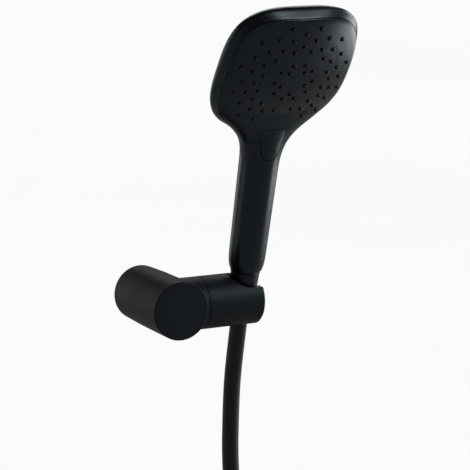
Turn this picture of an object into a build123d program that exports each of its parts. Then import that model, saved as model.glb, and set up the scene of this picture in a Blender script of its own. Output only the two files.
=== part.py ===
"""Hand shower with a tilting wall holder and a coiled hose.

Frame: millimetres, +Z up, origin at the centre of the bracket's wall face, +Y into the wall,
+X along the holder arm. The handset stands in the socket at the end of the arm.
"""
import os
from math import cos, pi, radians, sin, sqrt, tan

from build123d import *

# ---- driving dimensions: wall bracket and arm ----
POST_R = 24.0
POST_WALL_R = 23.3
POST_LENGTH = 81.7
POST_SKIN = 3.0
ARM_R = 21.9
ARM_Y = -58.9
SEAM_X = 26.2
SEAM_GAP = 0.3
ARM_END_X = 76.9
SOCKET_X = 65.9
BUSH_R = 13.6
BUSH_START_X = 6.0
SPIGOT_R = 11.05
RUNNING_FIT = 0.05
WALL_HOLE_R = 2.3
WALL_HOLE_SPACING = 28.0

# ---- driving dimensions: socket, cone nut and hose ----
HANDLE_TILT = 14.1
SOCKET_R = 14.6
SOCKET_FLOOR = -9.5
HOSE_SLOT = 8.4
LINER_TOP = 14.5
NUT_TOP = 24.6
NUT_BOTTOM = -8.0
NUT_TOP_R = 12.0
NUT_BOTTOM_R = 10.5
THREAD_R = 10.35
HOSE_R = 7.1
BARREL_R = 8.0
FLANGE_R = 9.6

# ---- driving dimensions: handset ----
FACE_TILT = 20.0
HEAD_S = 201.1
HEAD_FORWARD = 36.0
HEAD_HALF_WIDTH = 60.1
HEAD_HALF_HEIGHT = 57.0
HEAD_RISE = 2.5
CORNER_R = 29.0
CROWN = 2.6
DOME_R = 160.0
PLATE_SKIN = 2.4
MAT_SKIN = 1.2
SHELL_SKIN = 2.4
PLATE_FOOT = -45.0
HANDLE_FOOT = 25.0
CHAMFER_TOP = 28.5
HANDLE_FOOT_R = 14.9
BUTTON_S = 142.0
BUTTON_TRAVEL = 2.0
BUTTON_GAP = 0.35
ROTOR_S = 140.0
ROTOR_R = 5.6
JET_DISC_TOP = -15.0
JET_DISC_SKIN = 2.5

# ---- driving dimensions: stored coil ----
COIL_R = 84.0
COIL_PITCH = 14.4
COIL_TURNS = 2
ENTRY_ANGLE = 55.0
COIL_BACK_Y = -38.0
HOSE_JOINT_GAP = 3.0

tilt = radians(HANDLE_TILT)
up = (0, -sin(tilt), cos(tilt))
SOCKET = Plane(origin=(SOCKET_X, ARM_Y, 0), x_dir=(1, 0, 0), z_dir=up)
face_lean = radians(HANDLE_TILT + FACE_TILT)
FACE = Plane(
    origin=SOCKET.from_local_coords((0, -HEAD_FORWARD, HEAD_S)),
    x_dir=(1, 0, 0),
    z_dir=(0, -cos(face_lean), -sin(face_lean)),
)
FORWARD = (0, -cos(tilt), -sin(tilt))

os.makedirs("parts", exist_ok=True)


def save(part, name):
    """Label a finished piece and write it as its own STEP file."""
    part.label = name
    export_step(part, f"parts/{name}.step")


def handle_plane(s, forward=0.0):
    """Plane across the handle at height s, its origin moved forward from the handle's axis."""
    return Plane(origin=SOCKET.from_local_coords((0, -forward, s)), x_dir=(1, 0, 0), z_dir=up)


def front_plane(s, forward):
    """Plane facing forward, square to the handle, at height s and at a distance forward."""
    return Plane(
        origin=SOCKET.from_local_coords((0, -forward, s)), x_dir=(1, 0, 0), z_dir=FORWARD
    )


def turned(profile_plane, points):
    """Solid of revolution about the profile plane's Y axis, from (radius, height) points."""
    with BuildPart() as solid:
        with BuildSketch(profile_plane):
            with BuildLine():
                Polyline(*points, close=True)
            make_face()
        revolve(axis=Axis(profile_plane.origin, profile_plane.y_dir))
    return solid.part


def handle_section():
    """Plane through the handle's axis whose X is across and whose Y is up the handle."""
    return Plane(origin=SOCKET.origin, x_dir=(1, 0, 0), z_dir=FORWARD)


def ring(plane, outer, inner, height):
    """Plain ring standing on a plane."""
    with BuildPart() as part:
        with BuildSketch(plane):
            Circle(outer)
            Circle(inner, mode=Mode.SUBTRACT)
        extrude(amount=height)
    return part.part


def soft_square(scale):
    """Soft-square outline of the head at a scale, on the current sketch."""
    w = HEAD_HALF_WIDTH * scale
    h = HEAD_HALF_HEIGHT * scale
    q = 0.865
    with BuildLine(mode=Mode.PRIVATE) as outline:
        ThreePointArc((-q * w, q * h), (0, h), (q * w, q * h))
        ThreePointArc((q * w, q * h), (w, 0), (q * w, -q * h))
        ThreePointArc((q * w, -q * h), (0, -h), (-q * w, -q * h))
        ThreePointArc((-q * w, -q * h), (-w, 0), (-q * w, q * h))
    with BuildSketch(mode=Mode.PRIVATE) as sketch:
        add(outline.line)
        make_face()
        fillet(sketch.vertices(), CORNER_R * scale)
    with Locations((0, HEAD_RISE)):
        add(sketch.sketch)


def head_loft(sections):
    """Head-shaped solid through soft squares, each given as (height off the face, scale)."""
    with BuildPart() as head:
        for off, scale in sections:
            with BuildSketch(FACE.offset(off)):
                soft_square(scale)
        loft()
    return head.part


def handle_loft(sections, skin=0.0):
    """Handle and neck through ellipses given as (height, half width, back, front)."""
    with BuildPart() as handle:
        for s, half_width, back, front in sections:
            with BuildSketch(handle_plane(s, (back + front) / 2)):
                Ellipse(half_width - skin, (front - back) / 2 - skin)
        loft(ruled=True)
    return handle.part


def dome(radius):
    """Ball whose surface is the face's dome, or a layer under it."""
    with BuildPart(FACE.offset(CROWN - DOME_R)) as ball:
        Sphere(radius)
    return ball.part


def dome_height(distance, radius=DOME_R):
    """Height of a dome layer above the face's plane at a distance from its centre."""
    return CROWN - DOME_R + sqrt(radius ** 2 - distance ** 2)


# ---- the nozzle pattern ----
PATTERN_POWER = 2.19


def pattern_point(radius, angle):
    """Point of the spray pattern, its angle counted from the top towards +X."""
    across = sin(radians(angle))
    along = cos(radians(angle))
    stretch = (abs(across) ** PATTERN_POWER + abs(along) ** PATTERN_POWER) ** (-1 / PATTERN_POWER)
    return (radius * stretch * across, radius * stretch * along)


outer_nozzles = []
for side in (-1, 1):
    for spoke in (15, 45, 75, 105, 135):
        for radius in (28.9, 38.2, 48.0):
            outer_nozzles.append(pattern_point(radius, side * spoke))
    outer_nozzles.append(pattern_point(28.9, side * 165))
for spoke in range(-150, 151, 30):
    for radius in (33.1, 42.9):
        outer_nozzles.append(pattern_point(radius, spoke))
centre_jets = []
for index in range(10):
    centre_jets.append(pattern_point(16.7, 18 + 36 * index))
for index in range(5):
    centre_jets.append(pattern_point(11.1, 36 + 72 * index))


# ==== wall bracket ====
with BuildPart() as bracket_body:
    with BuildSketch(Plane.XY):
        with BuildLine():
            Polyline(
                (0, 0), (POST_WALL_R, 0), (POST_R, -30), (POST_R, -POST_LENGTH + 0.8),
                (POST_R - 0.8, -POST_LENGTH), (0, -POST_LENGTH), close=True,
            )
        make_face()
    revolve(axis=Axis.Y)
    with BuildSketch(Plane.YZ):
        with Locations((ARM_Y, 0)):
            Circle(ARM_R)
    extrude(amount=SEAM_X)
    with BuildSketch(Plane.XZ):
        Circle(POST_R - POST_SKIN)
    extrude(amount=POST_LENGTH - POST_SKIN, mode=Mode.SUBTRACT)
    with BuildSketch(Plane.YZ.offset(BUSH_START_X)):
        with Locations((ARM_Y, 0)):
            Circle(BUSH_R + 3)
    extrude(amount=SEAM_X - BUSH_START_X - 1)
    with BuildSketch(Plane.YZ):
        with Locations((ARM_Y, 0)):
            Circle(BUSH_R)
    extrude(amount=SEAM_X + 1, mode=Mode.SUBTRACT)
    with BuildSketch(Plane.XY.offset(-POST_R - 1)):
        with Locations((0, -8)):
            Circle(2.5)
    extrude(amount=6, mode=Mode.SUBTRACT)
save(bracket_body.part, "bracket_body")

with BuildPart() as wall_hub:
    with BuildSketch(Plane.XZ):
        Circle(POST_R - POST_SKIN - 0.1)
    extrude(amount=14)
    with BuildSketch(Plane.XZ.offset(4)):
        Circle(POST_R - POST_SKIN - 3.6)
    extrude(amount=10, mode=Mode.SUBTRACT)
    with BuildSketch(Plane.XZ):
        with GridLocations(WALL_HOLE_SPACING, 1, 2, 1):
            Circle(WALL_HOLE_R)
    extrude(amount=5, mode=Mode.SUBTRACT)
    with BuildSketch(Plane.XY.offset(-POST_R)):
        with Locations((0, -8)):
            Circle(2.1)
    extrude(amount=8, mode=Mode.SUBTRACT)
save(wall_hub.part, "wall_hub")

with BuildPart() as grub_screw:
    with BuildSketch(Plane.XY.offset(-POST_R + 0.6)):
        with Locations((0, -8)):
            Circle(2.0)
    extrude(amount=5)
    with BuildSketch(Plane.XY.offset(-POST_R + 0.6)):
        with Locations((0, -8)):
            RegularPolygon(1.2, 6)
    extrude(amount=2, mode=Mode.SUBTRACT)
save(grub_screw.part, "grub_screw")

PIVOT = Plane(origin=(0, ARM_Y, 0), x_dir=(0, 1, 0), z_dir=(1, 0, 0))
save(
    ring(PIVOT.offset(BUSH_START_X), BUSH_R, SPIGOT_R + RUNNING_FIT, SEAM_X - BUSH_START_X),
    "pivot_bush",
)

# ==== holder arm ====
with BuildPart() as holder_arm:
    with BuildSketch(PIVOT.offset(SEAM_X + SEAM_GAP)):
        Circle(ARM_R)
    extrude(amount=ARM_END_X - SEAM_X - SEAM_GAP)
    chamfer(holder_arm.edges().sort_by(Axis.X)[-1], 1.2)
    chamfer(holder_arm.edges().sort_by(Axis.X)[0], 0.5)
    with BuildSketch(PIVOT.offset(-1)):
        Circle(SPIGOT_R)
    extrude(amount=SEAM_X + SEAM_GAP + 2)
    with BuildSketch(PIVOT.offset(1.2)):
        Circle(SPIGOT_R + 1)
        Circle(SPIGOT_R - 1, mode=Mode.SUBTRACT)
    extrude(amount=1.6, mode=Mode.SUBTRACT)
    with BuildSketch(PIVOT.offset(15)):
        Circle(SPIGOT_R + 1)
        Circle(SPIGOT_R - 1.1, mode=Mode.SUBTRACT)
    extrude(amount=2.4, mode=Mode.SUBTRACT)
    with BuildSketch(PIVOT.offset(-1)):
        Circle(6.5)
    extrude(amount=40, mode=Mode.SUBTRACT)
    with BuildSketch(SOCKET.offset(SOCKET_FLOOR)):
        Circle(SOCKET_R)
        with Locations((SOCKET_R, 0)):
            Rectangle(2 * SOCKET_R, 2 * SOCKET_R)
    extrude(amount=ARM_R - SOCKET_FLOOR + 2, mode=Mode.SUBTRACT)
    with BuildSketch(SOCKET.offset(SOCKET_FLOOR + 1)):
        Circle(HOSE_SLOT)
        with Locations((SOCKET_R, 0)):
            Rectangle(2 * SOCKET_R, 2 * HOSE_SLOT)
    extrude(amount=-ARM_R, mode=Mode.SUBTRACT)
save(holder_arm.part, "holder_arm")

save(ring(PIVOT.offset(15.1), SPIGOT_R + RUNNING_FIT - 0.05, SPIGOT_R - 1.0, 2.2), "friction_ring")
save(ring(PIVOT.offset(3.4), BUSH_R + 1, SPIGOT_R + 0.1, 2.4), "wave_washer")
with BuildPart() as retaining_clip:
    with BuildSketch(PIVOT.offset(1.3)):
        Circle(BUSH_R + 0.6)
        Circle(SPIGOT_R - 0.9, mode=Mode.SUBTRACT)
        with Locations((BUSH_R, 0)):
            Rectangle(12, 12, mode=Mode.SUBTRACT)
    extrude(amount=1.4)
save(retaining_clip.part, "retaining_clip")

nut_slope = (NUT_TOP_R - NUT_BOTTOM_R) / (NUT_TOP - NUT_BOTTOM)
LINER_GAP = 0.3
LINER_FOOT = SOCKET_FLOOR + 0.1
with BuildPart() as socket_liner:
    add(
        turned(
            handle_section(),
            [
                (NUT_BOTTOM_R + LINER_GAP + nut_slope * (LINER_FOOT - NUT_BOTTOM), LINER_FOOT),
                (SOCKET_R - 0.1, LINER_FOOT),
                (SOCKET_R - 0.1, LINER_TOP),
                (NUT_BOTTOM_R + LINER_GAP + nut_slope * (LINER_TOP - NUT_BOTTOM), LINER_TOP),
            ],
        )
    )
    with BuildSketch(SOCKET.offset(LINER_FOOT - 1)):
        with Locations((SOCKET_R, 0)):
            Rectangle(2 * SOCKET_R, 2 * HOSE_SLOT)
    extrude(amount=30, mode=Mode.SUBTRACT)
save(socket_liner.part, "socket_liner")

# ==== handset shell ====
HANDLE_SECTIONS = [
    (CHAMFER_TOP, HANDLE_FOOT_R, -HANDLE_FOOT_R, HANDLE_FOOT_R),
    (70, 15.35, -15.35, 15.35),
    (110, 15.8, -15.8, 15.8),
    (123, 16.0, -15.7, 16.0),
    (132, 17.2, -15.0, 16.5),
    (141, 20.8, -12.5, 16.9),
    (149.5, 27.0, -9.3, 17.4),
    (158, 37.0, -5.5, 17.9),
    (170, 45.0, 0.0, 19.0),
]
outer_handle = handle_loft(HANDLE_SECTIONS)
inner_handle = handle_loft(HANDLE_SECTIONS, SHELL_SKIN)
foot = turned(
    handle_section(),
    [(0, HANDLE_FOOT), (12.6, HANDLE_FOOT), (HANDLE_FOOT_R, CHAMFER_TOP), (0, CHAMFER_TOP)],
)

with BuildPart() as handset_outer:
    add(head_loft([(-28.5, 0.66), (-24.5, 0.9), (-17, 1.0), (0, 0.955), (4, 0.945)]))
    add(dome(DOME_R), mode=Mode.INTERSECT)
    add(outer_handle)
    add(foot)

with BuildPart() as head_cavity:
    add(head_loft([(-26.1, 0.6), (-22.5, 0.85), (-17, 0.95), (-9, 0.948), (6, 0.948)]))
    split(bisect_by=Plane(FACE.from_local_coords((0, PLATE_FOOT, 0)), z_dir=FACE.y_dir))


def button_outline(grow):
    """Shield outline of the spray button, grown all round, on the current sketch."""
    with BuildLine(mode=Mode.PRIVATE) as shield:
        Polyline((-6.6, -13.6), (6.6, -13.6), (13.2, 13.4), (-13.2, 13.4), close=True)
    with BuildSketch(mode=Mode.PRIVATE) as sketch:
        add(shield.line)
        make_face()
        fillet(sketch.vertices().group_by(Axis.Y)[0], 5.5)
        fillet(sketch.vertices().group_by(Axis.Y)[-1], 4.0)
        offset(amount=grow)
    add(sketch.sketch)


with BuildPart() as handset_shell:
    add(handset_outer.part)
    add(head_cavity.part, mode=Mode.SUBTRACT)
    add(inner_handle, mode=Mode.SUBTRACT)
    with BuildSketch(handle_plane(HANDLE_FOOT - 1)):
        Circle(HANDLE_FOOT_R - SHELL_SKIN)
    extrude(amount=6, mode=Mode.SUBTRACT)
    with BuildSketch(front_plane(BUTTON_S, 10)):
        button_outline(BUTTON_GAP)
    extrude(amount=20, mode=Mode.SUBTRACT)
save(handset_shell.part, "handset_shell")

# ==== spray face ====
SCREW_PLACE = 39.5
NOZZLE_HOLE_R = 1.9
with BuildPart() as face_plate:
    with BuildSketch(FACE.offset(-20)):
        soft_square(0.944)
    extrude(amount=30)
    add(dome(DOME_R), mode=Mode.INTERSECT)
    add(dome(DOME_R - PLATE_SKIN), mode=Mode.SUBTRACT)
    split(bisect_by=Plane(FACE.from_local_coords((0, PLATE_FOOT + 0.3, 0)), z_dir=FACE.y_dir))
    with BuildSketch(FACE.offset(JET_DISC_TOP)):
        with GridLocations(2 * SCREW_PLACE, 2 * SCREW_PLACE, 2, 2):
            Circle(3.2)
    extrude(amount=5.5)
    with BuildSketch(FACE.offset(JET_DISC_TOP)):
        with GridLocations(2 * SCREW_PLACE, 2 * SCREW_PLACE, 2, 2):
            Circle(1.25)
    extrude(amount=4, mode=Mode.SUBTRACT)
    with BuildSketch(FACE.offset(-12)):
        with Locations(*outer_nozzles):
            Circle(NOZZLE_HOLE_R)
        with Locations(*centre_jets):
            Circle(NOZZLE_HOLE_R)
    extrude(amount=20, mode=Mode.SUBTRACT)
save(face_plate.part, "face_plate")

LAYER_GAP = 0.1
MAT_TOP_R = DOME_R - PLATE_SKIN - LAYER_GAP
MAT_R = 51.0
CENTRE_R = 22.6
NOZZLE_STAND = 1.2


def layer_with_nozzles(outer, inner, places, name):
    """Domed soft layer behind the face plate with a conical nozzle at each place."""
    with BuildPart() as layer:
        with BuildSketch(FACE.offset(-20)):
            Circle(outer)
            if inner > 0:
                Circle(inner, mode=Mode.SUBTRACT)
        extrude(amount=30)
        add(dome(MAT_TOP_R), mode=Mode.INTERSECT)
        add(dome(MAT_TOP_R - MAT_SKIN), mode=Mode.SUBTRACT)
        for x, y in places:
            top = dome_height(sqrt(x * x + y * y)) + NOZZLE_STAND
            root = dome_height(sqrt(x * x + y * y), MAT_TOP_R) - 0.6
            with Locations(FACE.offset(root)):
                with Locations((x, y, 0)):
                    Cone(1.8, 1.4, top - root, align=(Align.CENTER, Align.CENTER, Align.MIN))
    save(layer.part, name)


layer_with_nozzles(MAT_R, CENTRE_R + 1.4, outer_nozzles, "nozzle_mat")
layer_with_nozzles(CENTRE_R, 0, centre_jets, "centre_insert")

DUCT_FORWARD = 5.5
DUCT_R = 3.5
DUCT_LENGTH = 9.0
with BuildPart() as jet_disc:
    with BuildSketch(FACE.offset(JET_DISC_TOP - JET_DISC_SKIN)):
        soft_square(0.87)
    extrude(amount=JET_DISC_SKIN)
    split(bisect_by=Plane(FACE.from_local_coords((0, PLATE_FOOT - 3, 0)), z_dir=FACE.y_dir))
    with BuildSketch(FACE.offset(JET_DISC_TOP - JET_DISC_SKIN)):
        with GridLocations(2 * SCREW_PLACE, 2 * SCREW_PLACE, 2, 2):
            Circle(1.4)
        with PolarLocations(36, 8, 22.5):
            Circle(2.5)
        Circle(3)
    extrude(amount=JET_DISC_SKIN, mode=Mode.SUBTRACT)
save(jet_disc.part, "jet_disc")

RIM_R = 52.3
save(
    ring(FACE.offset(JET_DISC_TOP), CENTRE_R + 1.8, CENTRE_R - 0.4,
         dome_height(CENTRE_R + 1.8, MAT_TOP_R - MAT_SKIN) - JET_DISC_TOP - 0.1),
    "chamber_ring",
)
with BuildPart() as face_gasket:
    with BuildSketch(FACE.offset(JET_DISC_TOP)):
        Circle(RIM_R)
        Circle(RIM_R - 1.1, mode=Mode.SUBTRACT)
    extrude(amount=dome_height(RIM_R, DOME_R - PLATE_SKIN) - JET_DISC_TOP - 0.1)
    split(bisect_by=Plane(FACE.from_local_coords((0, PLATE_FOOT + 0.3, 0)), z_dir=FACE.y_dir))
save(face_gasket.part, "face_gasket")

with BuildPart() as plate_screws:
    for x in (-SCREW_PLACE, SCREW_PLACE):
        for y in (-SCREW_PLACE, SCREW_PLACE):
            with BuildSketch(FACE.offset(JET_DISC_TOP - JET_DISC_SKIN)):
                with Locations((x, y)):
                    Circle(2.6)
            extrude(amount=-1.8)
            with BuildSketch(FACE.offset(JET_DISC_TOP - JET_DISC_SKIN)):
                with Locations((x, y)):
                    Circle(1.2)
            extrude(amount=6)
save(plate_screws.part, "plate_screws")

# ==== water way in the handle ====
VALVE_FOOT = 129.5
VALVE_TOP = 149.5
VALVE_FORWARD = 2.0
VALVE_R = 8.0
TUBE_R = 7.2
TUBE_BORE = 5.6
with BuildPart() as valve_body:
    with BuildSketch(handle_plane(VALVE_FOOT, VALVE_FORWARD)):
        Circle(VALVE_R)
    extrude(amount=VALVE_TOP - VALVE_FOOT)
    with BuildSketch(front_plane(ROTOR_S, -3.8)):
        Circle(ROTOR_R + RUNNING_FIT)
    extrude(amount=20, mode=Mode.SUBTRACT)
    with BuildSketch(handle_plane(VALVE_FOOT, VALVE_FORWARD)):
        Circle(4)
    extrude(amount=4, mode=Mode.SUBTRACT)
    with BuildSketch(handle_plane(VALVE_TOP, DUCT_FORWARD)):
        Circle(2)
    extrude(amount=-6, mode=Mode.SUBTRACT)
save(valve_body.part, "valve_body")

with BuildPart() as selector_rotor:
    with BuildSketch(front_plane(ROTOR_S, -3.5)):
        Circle(ROTOR_R)
    extrude(amount=11.1)
    with BuildSketch(front_plane(ROTOR_S, 0.8)):
        Circle(2.3)
    extrude(amount=10, mode=Mode.SUBTRACT)
    with BuildSketch(front_plane(ROTOR_S, -2.6)):
        with PolarLocations(ROTOR_R, 6):
            Circle(1.1)
    extrude(amount=6, mode=Mode.SUBTRACT)
save(selector_rotor.part, "selector_rotor")

save(ring(handle_plane(VALVE_TOP, DUCT_FORWARD), DUCT_R, 2.2, 1.4), "duct_seal")
with BuildPart() as head_duct:
    with BuildSketch(handle_plane(VALVE_TOP + 1.4, DUCT_FORWARD)):
        Circle(DUCT_R)
        Circle(2.2, mode=Mode.SUBTRACT)
    extrude(amount=DUCT_LENGTH)
save(head_duct.part, "head_duct")

SPIGOT_TOP = 41.0
save(ring(handle_plane(SPIGOT_TOP), TUBE_R, TUBE_BORE, VALVE_FOOT - SPIGOT_TOP), "water_tube")
with BuildPart() as tube_seals:
    for s in (SPIGOT_TOP + 1, VALVE_FOOT - 2.4):
        with BuildSketch(handle_plane(s)):
            Circle(TUBE_R + 1.6)
            Circle(TUBE_R + 0.02, mode=Mode.SUBTRACT)
        extrude(amount=1.6)
save(tube_seals.part, "tube_seals")

SPIGOT_FOOT = 7.0
save(
    turned(
        handle_section(),
        [
            (5.8, SPIGOT_FOOT), (THREAD_R - 0.05, SPIGOT_FOOT), (THREAD_R - 0.05, HANDLE_FOOT),
            (12.3, HANDLE_FOOT), (12.3, 31), (11.2, 31), (11.2, 33), (12.3, 33),
            (12.3, SPIGOT_TOP), (5.8, SPIGOT_TOP),
        ],
    ),
    "inlet_spigot",
)
save(ring(handle_plane(31.1), 12.3, 11.3, 1.8), "spigot_seal")
save(ring(handle_plane(14), 5.7, 2.2, 9), "check_valve")
with BuildPart() as flow_disc:
    with BuildSketch(handle_plane(8)):
        Circle(5.7)
        with PolarLocations(3.4, 6):
            Circle(0.9, mode=Mode.SUBTRACT)
    extrude(amount=2.5)
save(flow_disc.part, "flow_disc")
save(ring(handle_plane(5.2), 9.6, 5.0, 1.7), "filter_washer")

with BuildPart() as cone_nut:
    add(
        turned(
            handle_section(),
            [
                (BARREL_R + 0.3, NUT_BOTTOM), (NUT_BOTTOM_R, NUT_BOTTOM), (NUT_TOP_R, NUT_TOP),
                (THREAD_R, NUT_TOP), (THREAD_R, 1.6), (BARREL_R + 0.3, 1.6),
            ],
        )
    )
save(cone_nut.part, "cone_nut")

# ==== spray button ====
BUTTON_BACK = 12.8
with BuildPart() as spray_button:
    with BuildSketch(front_plane(BUTTON_S, BUTTON_BACK)):
        button_outline(0)
    extrude(amount=12)
    add(handset_outer.part, mode=Mode.INTERSECT)
save(spray_button.part, "spray_button")

with BuildPart() as button_plunger:
    with BuildSketch(front_plane(ROTOR_S, 3.5)):
        Circle(2.2)
    extrude(amount=BUTTON_BACK - 3.5)
save(button_plunger.part, "button_plunger")
save(ring(front_plane(ROTOR_S, BUTTON_BACK - 2.8), 3.9, 2.6, 2.8), "button_spring")

# ==== hose ====
FERRULE_FOOT = -9.0


def ferrule(section, foot, top):
    """Hose tail with a barrel and a flange that its nut pulls on, up the section's Y axis."""
    way = 1 if top > foot else -1
    return turned(
        section,
        [
            (4.5, foot), (BARREL_R, foot), (BARREL_R, top - 3.2 * way),
            (FLANGE_R, top - 3.2 * way), (FLANGE_R, top), (4.5, top),
        ],
    )


save(ferrule(handle_section(), FERRULE_FOOT, 5.1), "upper_ferrule")

BEND_DEPTH = 74.2
ring_x = SOCKET_X + COIL_R * (1 - 2 * cos(radians(ENTRY_ANGLE)))
LEAVE_Z = -150.0
ring_z = LEAVE_Z - 2 * COIL_R * sin(radians(ENTRY_ANGLE))
front_y = COIL_BACK_Y - COIL_PITCH * (COIL_TURNS + ENTRY_ANGLE / 360)


def arc_radii(route):
    """Largest fair arc radius at each inner point of a route."""
    radii = []
    for before, here, after in zip(route, route[1:], route[2:]):
        first = Vector(*here) - Vector(*before)
        second = Vector(*after) - Vector(*here)
        half_turn = radians(first.get_angle(second)) / 2
        radii.append(0.45 * min(first.length, second.length) / tan(half_turn))
    return radii


def hose_tube(route, name):
    """Round hose along straight runs joined by tangent arcs."""
    radii = arc_radii(route)
    print(name, "arc radii", [round(radius, 1) for radius in radii])
    with BuildPart() as tube:
        with BuildLine() as path:
            FilletPolyline(*route, radius=radii)
        with BuildSketch(Plane(origin=path.line @ 0, z_dir=path.line % 0)):
            Circle(HOSE_R)
        sweep()
    print(name, "volume ratio", round(tube.part.volume / (pi * HOSE_R ** 2 * path.wire().length), 4),
          "length", round(path.wire().length, 1))
    save(tube.part, name)


bend = SOCKET.from_local_coords((0, 0, -BEND_DEPTH))
below = Vector(SOCKET_X, -40.6, -108)
out_of_bend = (below - bend).normalized()
with BuildPart() as hose_upper:
    with BuildSketch(SOCKET.offset(FERRULE_FOOT)):
        Circle(HOSE_R)
    extrude(amount=-(BEND_DEPTH - HOSE_JOINT_GAP + FERRULE_FOOT))
save(hose_upper.part, "hose_upper")

entry_x = ring_x + COIL_R * cos(radians(ENTRY_ANGLE))
entry_z = ring_z + COIL_R * sin(radians(ENTRY_ANGLE))
hose_tube(
    [
        tuple(bend + out_of_bend * HOSE_JOINT_GAP),
        tuple(below),
        (SOCKET_X, -37.4, -142),
        (SOCKET_X + 2.5, -36.6, -172),
        (SOCKET_X + 13, -37.0, -198),
        (entry_x, COIL_BACK_Y, entry_z),
    ],
    "hose_lower",
)

RING_PLANE = Plane(origin=(ring_x, 0, ring_z), x_dir=(1, 0, 0), z_dir=(0, -1, 0))
coil_back = -COIL_BACK_Y - HOSE_R
coil_front = -front_y + HOSE_R
save(
    ring(RING_PLANE.offset(coil_back), COIL_R + HOSE_R, COIL_R - HOSE_R, coil_front - coil_back),
    "hose_coil",
)

TAIL_LENGTH = 65.0
TAIL = Plane(origin=(ring_x + COIL_R, front_y, ring_z), x_dir=(1, 0, 0), z_dir=(0, 0, 1))
with BuildPart() as hose_tail:
    with BuildSketch(TAIL):
        Circle(HOSE_R)
    extrude(amount=-TAIL_LENGTH)
save(hose_tail.part, "hose_tail")

TIE_SKIN = 1.6
TIE_WIDTH = 8.0
with BuildPart() as coil_ties:
    for angle in (90, 205, 305):
        centre = RING_PLANE.from_local_coords(
            (COIL_R * cos(radians(angle)), COIL_R * sin(radians(angle)), (coil_back + coil_front) / 2)
        )
        along = (-sin(radians(angle)), 0, cos(radians(angle)))
        tie_plane = Plane(origin=centre, x_dir=(0, 1, 0), z_dir=along)
        with BuildSketch(tie_plane):
            Rectangle(coil_front - coil_back + 2 * TIE_SKIN, 2 * HOSE_R + 2 * TIE_SKIN + 0.6)
            Rectangle(coil_front - coil_back + 0.3, 2 * HOSE_R + 0.9, mode=Mode.SUBTRACT)
        extrude(amount=TIE_WIDTH / 2, both=True)
save(coil_ties.part, "coil_ties")

tail_foot = ring_z - TAIL_LENGTH
TAIL_SECTION = Plane(origin=(TAIL.origin.X, front_y, tail_foot), x_dir=(1, 0, 0), z_dir=(0, -1, 0))
save(ferrule(TAIL_SECTION, 0, -14.1), "lower_ferrule")
OUTLET_HEIGHT = 26.0
OUTLET_TOP = -1.0
with BuildPart() as outlet_nut:
    with BuildSketch(TAIL.offset(-TAIL_LENGTH + OUTLET_TOP)):
        RegularPolygon(12.0, 6, major_radius=False)
    extrude(amount=-OUTLET_HEIGHT)
    with BuildSketch(TAIL.offset(-TAIL_LENGTH + OUTLET_TOP)):
        Circle(BARREL_R + 0.3)
    extrude(amount=-OUTLET_HEIGHT, mode=Mode.SUBTRACT)
    with BuildSketch(TAIL.offset(-TAIL_LENGTH - 10.6)):
        Circle(THREAD_R - 0.3)
    extrude(amount=-6, mode=Mode.SUBTRACT)
    with BuildSketch(TAIL.offset(-TAIL_LENGTH - 16.5)):
        Circle(THREAD_R)
    extrude(amount=-OUTLET_HEIGHT, mode=Mode.SUBTRACT)
save(outlet_nut.part, "outlet_nut")
save(ring(TAIL.offset(-TAIL_LENGTH - 16.2), 9.8, 6.0, 2.0), "outlet_washer")

print("coil centre", round(ring_x, 1), round(ring_z, 1), "front y", round(front_y, 1))
print("tail", [round(value, 1) for value in TAIL.origin], "foot z", round(tail_foot, 1))
print("joint origin, socket up", up, "forward", FORWARD, "bend", tuple(bend))
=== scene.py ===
"""Looks of a hand shower in its wall holder: skins, spray face, hose, finishes and studio.

The scene is in metres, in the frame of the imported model. The handset, the hose and its ties are
worked out in millimetres. The handset is modelled upright, with its handle along Z and its face
towards -Y, and is then scaled to metres and set into the socket of the holder arm.
"""
from __future__ import annotations

import logging
import math
from collections.abc import Callable, Iterator, Sequence
from contextlib import contextmanager
from dataclasses import dataclass
from enum import Enum
from typing import Any

import bmesh
import bpy
from mathutils import Matrix, Vector

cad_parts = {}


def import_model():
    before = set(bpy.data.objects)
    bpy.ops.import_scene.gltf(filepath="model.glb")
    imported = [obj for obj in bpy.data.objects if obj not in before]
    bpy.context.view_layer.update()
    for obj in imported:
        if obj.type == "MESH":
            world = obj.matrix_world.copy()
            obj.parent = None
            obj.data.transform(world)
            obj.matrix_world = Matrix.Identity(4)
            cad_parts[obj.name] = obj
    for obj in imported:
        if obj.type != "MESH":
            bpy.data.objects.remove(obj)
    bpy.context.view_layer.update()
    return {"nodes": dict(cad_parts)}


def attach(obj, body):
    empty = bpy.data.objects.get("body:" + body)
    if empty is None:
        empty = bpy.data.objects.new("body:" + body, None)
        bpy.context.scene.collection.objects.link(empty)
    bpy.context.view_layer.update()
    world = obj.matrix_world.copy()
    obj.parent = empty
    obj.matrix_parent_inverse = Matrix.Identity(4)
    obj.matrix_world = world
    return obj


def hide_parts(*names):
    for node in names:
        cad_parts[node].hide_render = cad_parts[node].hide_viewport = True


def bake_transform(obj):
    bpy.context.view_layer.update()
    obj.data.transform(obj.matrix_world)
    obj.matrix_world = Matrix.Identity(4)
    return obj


LOG = logging.getLogger("hand_shower")
MM = 0.001


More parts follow.
